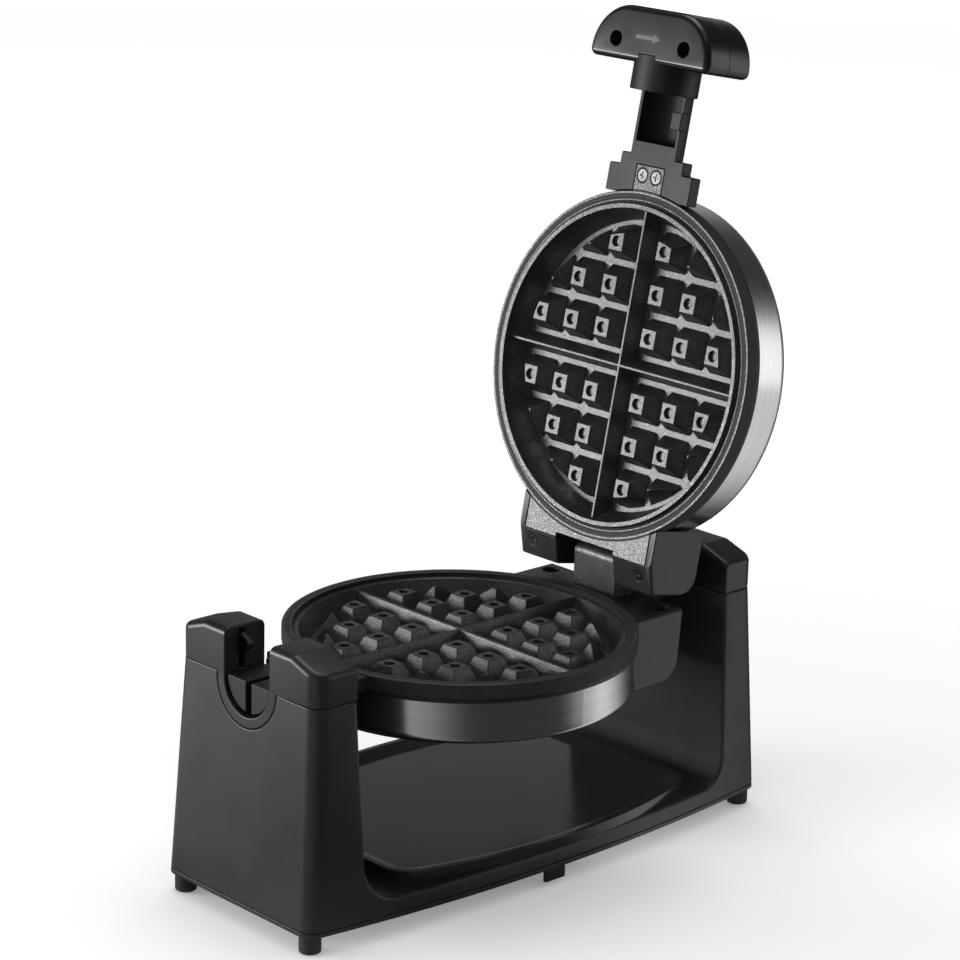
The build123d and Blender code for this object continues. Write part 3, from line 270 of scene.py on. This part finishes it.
# spark-eroded moulded plastic: a fine even grain, faint flow shading and a polish that drifts
def mouldedPlastic(name):
    look = plasticLooks[name]
    finish = newFinish(name)
    place = finish.where()
    grain = finish.noise(place, look["grain"], 2.0, 0.6)
    pits = finish.cells(place, look["grain"] * mouldLook["pitScale"])
    flow = finish.noise(place, mouldLook["flowScale"], 2.0)
    touch = finish.noise(place, mouldLook["touchScale"])
    colour = finish.blend(flow.ramp(*mouldLook["flowTone"]), grey(look["dark"]), grey(look["light"]))
    rough = look["rough"] + (touch - 0.5) * look["spread"] * 2 + (flow - 0.5) * look["spread"]
    if name == "standBlack":
        behind = finish.split(place)[1].ramp(*innerWall["behind"])
        normal = finish.add("ShaderNodeNewGeometry", output="Normal")
        facing = (finish.split(normal)[1] * -1.0).ramp(*innerWall["facing"])
        rough = rough + behind * facing * innerWall["rougher"]
    if name == "gripFace":
        # painted highlight: a lighter grey where the raised arrow is
        colour = finish.blend(paintedArrowHighlight(finish), colour, grey(arrowLook["tone"]))
    return finish.shade(
        grain * mouldLook["grainDepth"] + pits * mouldLook["pitDepth"],
        look["bump"],
        mouldLook["depth"],
        Base_Color=colour,
        Roughness=rough.clamp(),
        IOR=mouldLook["ior"],
    )


steelLook = {
    "dark": 0.52,
    "light": 0.62,
    "warmth": 0.01,
    "toneRamp": (0.3, 0.72),
    "rough": 0.21,
    "hairRough": 0.16,
    "smearRough": 0.1,
    "hairScale": 2600.0,
    "hairDrift": 14.0,
    "wideScale": 260.0,
    "wideDrift": 5.0,
    "smearScale": 22.0,
    "wideDepth": 0.6,
    "bump": 0.04,
    "depth": 0.0001,
}


# spun sheet steel, polished round the head's axis: hair lines follow the turn on band and back,
# as noise on radius and height alone, with a slow drift across
def brushedSteel(name, lid):
    finish = newFinish(name)
    x, y, z = finish.split(finish.where(lid))
    radius = reach(x, y)
    fine = steelLook["hairScale"]
    broad = steelLook["wideScale"]
    hairLines = finish.join(radius * fine, z * fine, (x + y) * steelLook["hairDrift"])
    wideLines = finish.join(radius * broad, z * broad, (x - y) * steelLook["wideDrift"])
    hair = finish.noise(hairLines, 1.0, 4.0, 0.65)
    wide = finish.noise(wideLines, 1.0, 3.0, 0.6)
    smear = finish.noise(finish.join(x, y, z), steelLook["smearScale"], 3.0, 0.55)
    tone = (hair * 0.6 + wide * 0.4).ramp(*steelLook["toneRamp"])
    dark = grey(steelLook["dark"], steelLook["warmth"])
    light = grey(steelLook["light"], steelLook["warmth"])
    rough = steelLook["rough"] + (hair - 0.5) * steelLook["hairRough"]
    rough = rough + (smear - 0.5) * steelLook["smearRough"]
    return finish.shade(
        hair + wide * steelLook["wideDepth"],
        steelLook["bump"],
        steelLook["depth"],
        Base_Color=finish.blend(tone, dark, light),
        Metallic=1.0,
        Roughness=rough.clamp(),
    )


# distances from the head's axis in metres; each ring of painted shade has a start, an end and how dark it is
plateLook = {
    "dark": 0.035,
    "light": 0.060,
    "cloudTone": (0.3, 0.7),
    "fleck": 0.26,
    "fleckFrom": (0.52, 0.72),
    "paintedShade": 0.008,
    "metal": 0.7,
    "paintedShadeMetal": 0.6,
    "rough": 0.36,
    "cloudRough": 0.12,
    "peelRough": 0.14,
    "fleckRough": 0.1,
    "paintedShadeRough": 0.4,
    "peelScale": 900.0,
    "cloudScale": 34.0,
    "sandScale": 2200.0,
    "skirtFrom": (0.0994, 0.1000),
    "skirtTo": (0.1006, 0.1010),
    "skirtDark": 0.8,
    "rings": ((0.0929, 0.0946, 0.95), (0.0954, 0.0960, 0.95), (0.0960, 0.0984, 0.7)),
    "ringEdge": 0.0001,
    "grooveFrom": (0.0934, 0.0940),
    "grooveTo": (0.0992, 0.0996),
    "groovePitch": 0.0011,
    "grooveDepth": 0.3,
    "peelDepth": 0.7,
    "sandDepth": 0.6,
    "bump": 0.4,
    "depth": 0.00016,
    "ior": 1.5,
}

# painted shade: a black ring in the recess round each screw of a plate's tongue
screwShadeRing = {"x": 0.0053, "y": -0.109, "radius": 0.0046, "edge": 0.0001}


# cast aluminium under a dark non-stick coat: metal flecks, orange peel, and turned rings on the rim, with
# painted shade on the skirt, between the rim's rings and round the tongue screws
def castPlate(name, lid):
    finish = newFinish(name)
    place = finish.where(lid)
    x, y, z = finish.split(place)
    radius = reach(x, y)
    peel = finish.noise(place, plateLook["peelScale"], 3.0, 0.6)
    cloud = finish.noise(place, plateLook["cloudScale"])
    sand = finish.noise(place, plateLook["sandScale"], 2.0, 0.7)
    fleck = sand.ramp(*plateLook["fleckFrom"])
    base = finish.blend(
        cloud.ramp(*plateLook["cloudTone"]),
        grey(plateLook["dark"]),
        grey(plateLook["light"]),
    )
    coat = finish.blend(fleck, base, grey(plateLook["fleck"]))
    # painted shade: the plate's outer skirt and dark rings on the rim are painted near black and less
    # metallic
    skirt = radius.ramp(*plateLook["skirtFrom"]) * (1.0 - radius.ramp(*plateLook["skirtTo"]))
    paintedShade = skirt * plateLook["skirtDark"]
    for start, end, share in plateLook["rings"]:
        paintedShade = paintedShade + radius.window(start, end, plateLook["ringEdge"]) * share
    # painted shade in the recess round each tongue screw
    sideways = (x * x).root() - screwShadeRing["x"]
    toScrew = reach(sideways, y - screwShadeRing["y"])
    paintedShade = (paintedShade + (1.0 - toScrew.step(screwShadeRing["radius"], screwShadeRing["edge"]))).clamp()
    grooved = radius.ramp(*plateLook["grooveFrom"]) * (1.0 - radius.ramp(*plateLook["grooveTo"]))
    grooves = (radius * (2 * pi / plateLook["groovePitch"])).wave() * grooved
    rough = plateLook["rough"] + (cloud - 0.5) * plateLook["cloudRough"]
    rough = rough + (peel - 0.5) * plateLook["peelRough"] - fleck * plateLook["fleckRough"]
    rough = rough + paintedShade * plateLook["paintedShadeRough"]
    height = peel * plateLook["peelDepth"] + grooves * plateLook["grooveDepth"]
    return finish.shade(
        height + sand * plateLook["sandDepth"],
        plateLook["bump"],
        plateLook["depth"],
        Base_Color=finish.blend(paintedShade, coat, grey(plateLook["paintedShade"])),
        Metallic=(plateLook["metal"] - paintedShade * plateLook["paintedShadeMetal"]).clamp(),
        Roughness=rough.clamp(),
        IOR=plateLook["ior"],
    )


trayLook = {
    "dark": 0.014,
    "dusty": 0.03,
    "dustFrom": (0.55, 0.8),
    "rough": 0.15,
    "hazeRough": 0.1,
    "dustRough": 0.05,
    "rippleScale": 30.0,
    "dustScale": 900.0,
    "hazeScale": 60.0,
    "bump": 0.05,
    "depth": 0.001,
    "ior": 1.5,
}


# polished black plastic: deep gloss, a slight mould waviness and fine dust
def glossyTray(name):
    finish = newFinish(name)
    place = finish.where()
    ripple = finish.noise(place, trayLook["rippleScale"], 2.0)
    dust = finish.noise(place, trayLook["dustScale"], 3.0, 0.6)
    haze = finish.noise(place, trayLook["hazeScale"], 4.0)
    dusted = dust.ramp(*trayLook["dustFrom"])
    rough = trayLook["rough"] + (haze - 0.5) * trayLook["hazeRough"] + dust * trayLook["dustRough"]
    return finish.shade(
        ripple,
        trayLook["bump"],
        trayLook["depth"],
        Base_Color=finish.blend(dusted, grey(trayLook["dark"]), grey(trayLook["dusty"])),
        Roughness=rough.clamp(),
        IOR=trayLook["ior"],
    )


metalLooks = {
    "darkScrew": {"dark": 0.10, "light": 0.18, "rough": 0.30, "warmth": 0.0, "mark": 1500.0},
    "latchBlack": {"dark": 0.03, "light": 0.05, "rough": 0.36, "warmth": 0.0, "mark": 900.0},
    "screwSteel": {"dark": 0.42, "light": 0.6, "rough": 0.26, "warmth": 0.0, "mark": 1500.0},
    "plainSteel": {"dark": 0.36, "light": 0.5, "rough": 0.34, "warmth": 0.0, "mark": 900.0},
    "elementSteel": {"dark": 0.10, "light": 0.2, "rough": 0.55, "warmth": 0.08, "mark": 500.0},
    "plainAluminium": {"dark": 0.62, "light": 0.76, "rough": 0.34, "warmth": 0.0, "mark": 700.0},
    "bushBrass": {"dark": 0.45, "light": 0.6, "rough": 0.32, "warmth": 0.24, "mark": 900.0},
}

# what all plain metals share; the noise of the drawn marks is stretched along x and y
drawnLook = {
    "stretch": 0.15,
    "mottleScale": 120.0,
    "mottleTone": (0.3, 0.7),
    "markRough": 0.2,
    "mottleRough": 0.12,
    "mottleDepth": 0.5,
    "bump": 0.14,
    "depth": 0.0001,
}


# plain metal with drawn marks, a mottled oxide and small scratches
def machinedMetal(name):
    look = metalLooks[name]
    finish = newFinish(name)
    place = finish.where()
    x, y, z = finish.split(place)
    drawn = finish.join(x * drawnLook["stretch"], y * drawnLook["stretch"], z)
    marks = finish.noise(drawn, look["mark"], 3.0, 0.6)
    mottle = finish.noise(place, drawnLook["mottleScale"], 4.0, 0.6)
    tone = mottle.ramp(*drawnLook["mottleTone"])
    dark = grey(look["dark"], look["warmth"])
    light = grey(look["light"], look["warmth"])
    rough = look["rough"] + (marks - 0.5) * drawnLook["markRough"]
    rough = rough + (mottle - 0.5) * drawnLook["mottleRough"]
    return finish.shade(
        marks + mottle * drawnLook["mottleDepth"],
        drawnLook["bump"],
        drawnLook["depth"],
        Base_Color=finish.blend(tone, dark, light),
        Metallic=1.0,
        Roughness=rough.clamp(),
    )


lensLook = {
    "deepRed": (0.42, 0.03, 0.02, 1.0),
    "paleRed": (0.6, 0.07, 0.04, 1.0),
    "ribPitch": 0.0009,
    "rough": 0.16,
    "coat": 0.6,
    "bump": 0.1,
    "depth": 0.0001,
}


# tinted indicator lens with a faint rib pattern
def clearLens(name):
    finish = newFinish(name)
    x = finish.split(finish.where())[0]
    ribs = (x * (2 * pi / lensLook["ribPitch"])).wave()
    return finish.shade(
        ribs,
        lensLook["bump"],
        lensLook["depth"],
        Base_Color=finish.blend(ribs.ramp(-1.0, 1.0), lensLook["deepRed"], lensLook["paleRed"]),
        Roughness=lensLook["rough"],
        Coat_Weight=lensLook["coat"],
    )


finishes = {name: mouldedPlastic(name) for name in plasticLooks}
finishes.update({name: machinedMetal(name) for name in metalLooks})
finishes["lowerSteel"] = brushedSteel("lowerSteel", False)
finishes["upperSteel"] = brushedSteel("upperSteel", True)
finishes["lowerCasting"] = castPlate("lowerCasting", False)
finishes["upperCasting"] = castPlate("upperCasting", True)
finishes["glossyTray"] = glossyTray("glossyTray")
finishes["clearLens"] = clearLens("clearLens")
print("finishes made,", len(finishes))

# the photograph's view: place in metres, angles in degrees, focal length in the picture's pixels
cameraLook = {
    "place": (1.25193, -1.17256, 0.71974),
    "yaw": 46.888,
    "down": 16.324,
    "roll": 1.382,
    "focal": 3220.24,
    "pixels": 960,
    "sensor": 36.0,
    "far": 60.0,
}


def makeCamera():
    yaw = radians(cameraLook["yaw"])
    down = radians(cameraLook["down"])
    roll = radians(cameraLook["roll"])
    ahead = Vector((-sin(yaw) * cos(down), cos(yaw) * cos(down), -sin(down)))
    right = Vector((cos(yaw), sin(yaw), 0.0))
    up = right.cross(ahead)
    turnedRight = right * cos(roll) + up * sin(roll)
    turnedUp = up * cos(roll) - right * sin(roll)
    data = bpy.data.cameras.new("photoCamera")
    data.sensor_fit = "HORIZONTAL"
    data.sensor_width = cameraLook["sensor"]
    data.lens = cameraLook["focal"] / cameraLook["pixels"] * cameraLook["sensor"]
    data.clip_end = cameraLook["far"]
    camera = bpy.data.objects.new("photoCamera", data)
    scene.collection.objects.link(camera)
    axes = Matrix((turnedRight, turnedUp, -ahead)).transposed()
    camera.matrix_world = Matrix.Translation(cameraLook["place"]) @ axes.to_4x4()
    scene.camera = camera


makeCamera()
print("camera set")

# finish, edge rounding in metres, and the record's slot of each rounded piece
rounded = {
    "base_shell": ("standBlack", 0.0009, "black_plastic"),
    "front_tower_cap": ("capBlack", 0.0008, "black_plastic"),
    "rear_tower_cap": ("capBlack", 0.0012, "black_plastic"),
    "lower_hinge_cover": ("hingeGrey", 0.0007, "cover_plastic"),
    "upper_hinge_cover": ("hingeGrey", 0.0007, "cover_plastic"),
    "lower_stem": ("armBlack", 0.0005, "black_plastic"),
    "handle_arm": ("armBlack", 0.0005, "black_plastic"),
    "grip_inner_shell": ("gripFace", 0.0003, "black_plastic"),
    "grip_outer_shell": ("gripBlack", 0.0003, "black_plastic"),
    "lower_plate": ("lowerCasting", 0.0005, "nonstick_casting"),
    "upper_plate": ("upperCasting", 0.0005, "nonstick_casting"),
    "lower_heat_ring": ("bezelBlack", 0.0004, "heat_plastic"),
    "upper_heat_ring": ("bezelBlack", 0.0004, "heat_plastic"),
    "base_plate": ("standBlack", 0.0005, "black_plastic"),
    "hinge_blocks": ("plainSteel", 0.0004, "plain_steel"),
    "lock_pawl": ("latchBlack", 0.0003, "plain_steel"),
}

# how a rounded copy is made: merging distances in metres, angles in degrees
softening = {"merge": 4e-6, "sliver": 2e-6, "flat": 0.6, "crease": 34.0, "segments": 2}


# a CAD node's mesh copied, its doubles merged and its flat areas joined
def cleanMesh(node):
    mesh = nodes[node].data.copy()
    work = bmesh.new()
    work.from_mesh(mesh)
    bmesh.ops.remove_doubles(work, verts=work.verts, dist=softening["merge"])
    bmesh.ops.dissolve_degenerate(work, edges=work.edges, dist=softening["sliver"])
    flat = radians(softening["flat"])
    bmesh.ops.dissolve_limit(work, angle_limit=flat, verts=work.verts, edges=work.edges)
    work.to_mesh(mesh)
    work.free()
    normals = mesh.attributes.get("custom_normal")
    if normals is not None:
        mesh.attributes.remove(normals)
    return mesh


# a copy of a CAD node with its sharp edges rounded by a small bevel, as a moulded or cast piece has them
def softCopy(node, finish, width):
    mesh = cleanMesh(node)
    mesh.name = node + "Soft"
    piece = bpy.data.objects.new(node + "Soft", mesh)
    scene.collection.objects.link(piece)
    crease = radians(softening["crease"])
    mesh.polygons.foreach_set("use_smooth", np.ones(len(mesh.polygons), bool))
    mesh.set_sharp_from_angle(angle=crease)
    mesh.materials.clear()
    mesh.materials.append(finishes[finish])
    bevel = piece.modifiers.new("edges", "BEVEL")
    bevel.limit_method = "ANGLE"
    bevel.angle_limit = crease
    bevel.width = width
    bevel.segments = softening["segments"]
    bevel.use_clamp_overlap = False
    bevel.harden_normals = True
    bevel.loop_slide = True
    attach(piece, nodes[node]["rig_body"])
    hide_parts(node)
    return piece


for node, (finish, width, slot) in rounded.items():
    softCopy(node, finish, width)
print("rounded pieces made,", len(rounded))

# finish of each piece that keeps the CAD mesh
kept = {
    "drip_tray": "glossyTray",
    "base_screws": "screwSteel",
    "rubber_feet": "footRubber",
    "pawl_pin": "screwSteel",
    "shaft_bush": "bushBrass",
    "bearing_plate": "plainSteel",
    "cord_gland": "footRubber",
    "terminal_block": "paleCeramic",
    "lower_cover": "lowerSteel",
    "upper_cover": "upperSteel",
    "lower_cover_screws": "screwSteel",
    "upper_cover_screws": "screwSteel",
    "lower_element": "elementSteel",
    "upper_element": "elementSteel",
    "lower_reflector": "plainAluminium",
    "upper_reflector": "plainAluminium",
    "lower_thermostat": "paleCeramic",
    "upper_thermostat": "paleCeramic",
    "thermal_fuse": "bushBrass",
    "lower_tongue_screws": "darkScrew",
    "upper_tongue_screws": "darkScrew",
    "pivot_shaft": "plainSteel",
    "retaining_clip": "plainSteel",
    "hinge_pin": "plainSteel",
    "hinge_screws": "darkScrew",
    "grip_screws": "darkScrew",
    "indicator_lenses": "clearLens",
}


def dress(node, finish):
    mesh = nodes[node].data
    if len(mesh.materials) == 0:
        mesh.materials.append(finishes[finish])
    for place in range(len(mesh.materials)):
        mesh.materials[place] = finishes[finish]


for node, finish in kept.items():
    dress(node, finish)
print("kept pieces dressed,", len(kept))

# the pale floor, which glows to the camera and to mirrors more with distance, and the white surround
studio = {
    "floorSize": 30.0,
    "floorDrop": 0.0002,
    "floorTone": 0.90,
    "floorRough": 0.35,
    "floorIor": 1.3,
    "glowNear": 0.22,
    "glowFar": 0.52,
    "glowRange": (0.30, 1.30),
    "ambient": 0.65,
}


# a stage piece from its points, faces and finish
def stagePiece(name, points, faces, material):
    mesh = bpy.data.meshes.new(name)
    mesh.from_pydata(points, [], faces)
    mesh.materials.append(material)
    piece = bpy.data.objects.new(name, mesh)
    scene.collection.objects.link(piece)
    return piece


def makeFloor():
    finish = newFinish("paleFloor")
    seen = finish.add("ShaderNodeLightPath", output="Is Camera Ray")
    mirrored = finish.add("ShaderNodeLightPath", output="Is Glossy Ray")
    surface = finish.add(
        "ShaderNodeBsdfPrincipled",
        inputs={
            "Base Color": grey(studio["floorTone"]),
            "Roughness": studio["floorRough"],
            "IOR": studio["floorIor"],
        },
    )
    x, y, z = finish.split(finish.add("ShaderNodeTexCoord", output="Object"))
    away = reach(x, y).ramp(*studio["glowRange"])
    strength = away * (studio["glowFar"] - studio["glowNear"]) + studio["glowNear"]
    strength = (seen + mirrored).clamp() * strength
    glow = finish.add("ShaderNodeEmission", inputs={"Color": grey(1.0), "Strength": strength})
    material = finish.end(finish.add("ShaderNodeAddShader", inputs={0: surface, 1: glow}))
    half = studio["floorSize"] / 2
    corners = [(-half, -half), (half, -half), (half, half), (-half, half)]
    points = [(across, along, -studio["floorDrop"]) for across, along in corners]
    floor = stagePiece("floor", points, [(0, 1, 2, 3)], material)


# the tent of grey cards that only mirror-like reflections show: lengths in metres, and for each card
# its azimuth from start to end in radians, the width of its edges, its level and whether it is a wall only
tent = {
    "radius": 3.4,
    "floor": 0.0015,
    "hub": 0.001,
    "rings": 40,
    "around": 96,
    "closing": 0.995,
    "dark": 0.05,
    "lowRange": (0.9, 1.9),
    "wallRange": (0.2, 0.6),
    "topRange": (2.6, 3.2),
    "top": 0.5,
    "cards": (
        {"start": 0.62, "end": 1.14, "edge": 0.35, "level": 1.05, "wallOnly": False},
        {"start": -1.70, "end": -0.95, "edge": 0.35, "level": 0.36, "wallOnly": False},
        {"start": -2.75, "end": -2.10, "edge": 0.30, "level": 0.55, "wallOnly": False},
        {"start": 1.75, "end": 2.85, "edge": 0.40, "level": 0.34, "wallOnly": True},
    ),
}


def tentFinish():
    finish = newFinish("tentCards")
    x, y, z = finish.split(finish.add("ShaderNodeTexCoord", output="Object"))
    azimuth = finish.add("ShaderNodeMath", {"operation": "ARCTAN2"}, {0: y, 1: x})
    low = 1.0 - z.ramp(*tent["lowRange"])
    wall = z.ramp(*tent["wallRange"])
    level = z.ramp(*tent["topRange"]) * tent["top"] + tent["dark"]
    for card in tent["cards"]:
        glow = azimuth.window(card["start"], card["end"], card["edge"]) * low * card["level"]
        if card["wallOnly"]:
            glow = glow * wall
        level = level + glow
    return finish.end(finish.add("ShaderNodeEmission", inputs={"Color": grey(1.0), "Strength": level}))


# a floor disc and a dome in one surface: radius and height follow a quarter circle from the edge up,
# the first ring is the disc's middle, and every ring is turned round the upright axis
def makeTent():
    rings = tent["rings"]
    around = tent["around"]
    rise = np.linspace(0.0, pi / 2 * tent["closing"], rings)
    radius = np.concatenate(([tent["hub"]], tent["radius"] * np.cos(rise)))
    height = np.concatenate(([0.0], tent["radius"] * np.sin(rise))) + tent["floor"]
    turn = np.linspace(0, 2 * pi, around, endpoint=False)
    points = np.stack(
        (
            radius[:, None] * np.cos(turn)[None, :],
            radius[:, None] * np.sin(turn)[None, :],
            np.repeat(height[:, None], around, axis=1),
        ),
        axis=-1,
    ).reshape(-1, 3)
    row = np.arange(rings)[:, None] * around
    column = np.arange(around)[None, :]
    after = (column + 1) % around
    quads = np.stack((row + column, row + around + column, row + around + after, row + after), axis=-1)
    cards = stagePiece("tent", points.tolist(), quads.reshape(-1, 4).tolist(), tentFinish())
    cards.visible_camera = False
    cards.visible_diffuse = False
    cards.visible_shadow = False
    cards.visible_transmission = False


# white to the camera, to mirrors and through glass, and a plain level for everything else
def makeWorld():
    scene.world = bpy.data.worlds.new("whiteRoom")
    finish = Finish(scene.world, "ShaderNodeOutputWorld")
    seen = finish.add("ShaderNodeLightPath", output="Is Camera Ray")
    mirrored = finish.add("ShaderNodeLightPath", output="Is Glossy Ray")
    through = finish.add("ShaderNodeLightPath", output="Is Transmission Ray")
    white = (seen + mirrored + through).clamp()
    strength = white * (1.0 - studio["ambient"]) + studio["ambient"]
    finish.end(finish.add("ShaderNodeBackground", inputs={"Color": grey(1.0), "Strength": strength}))


lamps = {
    "leftBox": {"place": (-1.15, -1.20, 0.27), "aim": (0.0, 0.09, 0.26), "size": (0.9, 0.5), "power": 19.0},
    "topBox": {"place": (-0.3, 0.2, 1.8), "aim": (0.0, 0.0, 0.1), "size": (1.0, 1.0), "power": 8.0},
    "rightStrip": {"place": (1.2, 1.5, 0.5), "aim": (0.0, 0.0, 0.2), "size": (0.5, 1.0), "power": 1.2},
}


def makeLamp(name):
    look = lamps[name]
    data = bpy.data.lights.new(name, "AREA")
    data.shape = "RECTANGLE"
    data.size, data.size_y = look["size"]
    data.energy = look["power"]
    lamp = bpy.data.objects.new(name, data)
    scene.collection.objects.link(lamp)
    place = Vector(look["place"])
    turned = (Vector(look["aim"]) - place).to_track_quat("-Z", "Y").to_matrix().to_4x4()
    lamp.matrix_world = Matrix.Translation(place) @ turned


makeFloor()
makeTent()
makeWorld()
for name in lamps:
    makeLamp(name)
scene.view_settings.view_transform = "Standard"
print("studio lit,", len(lamps), "lamps")
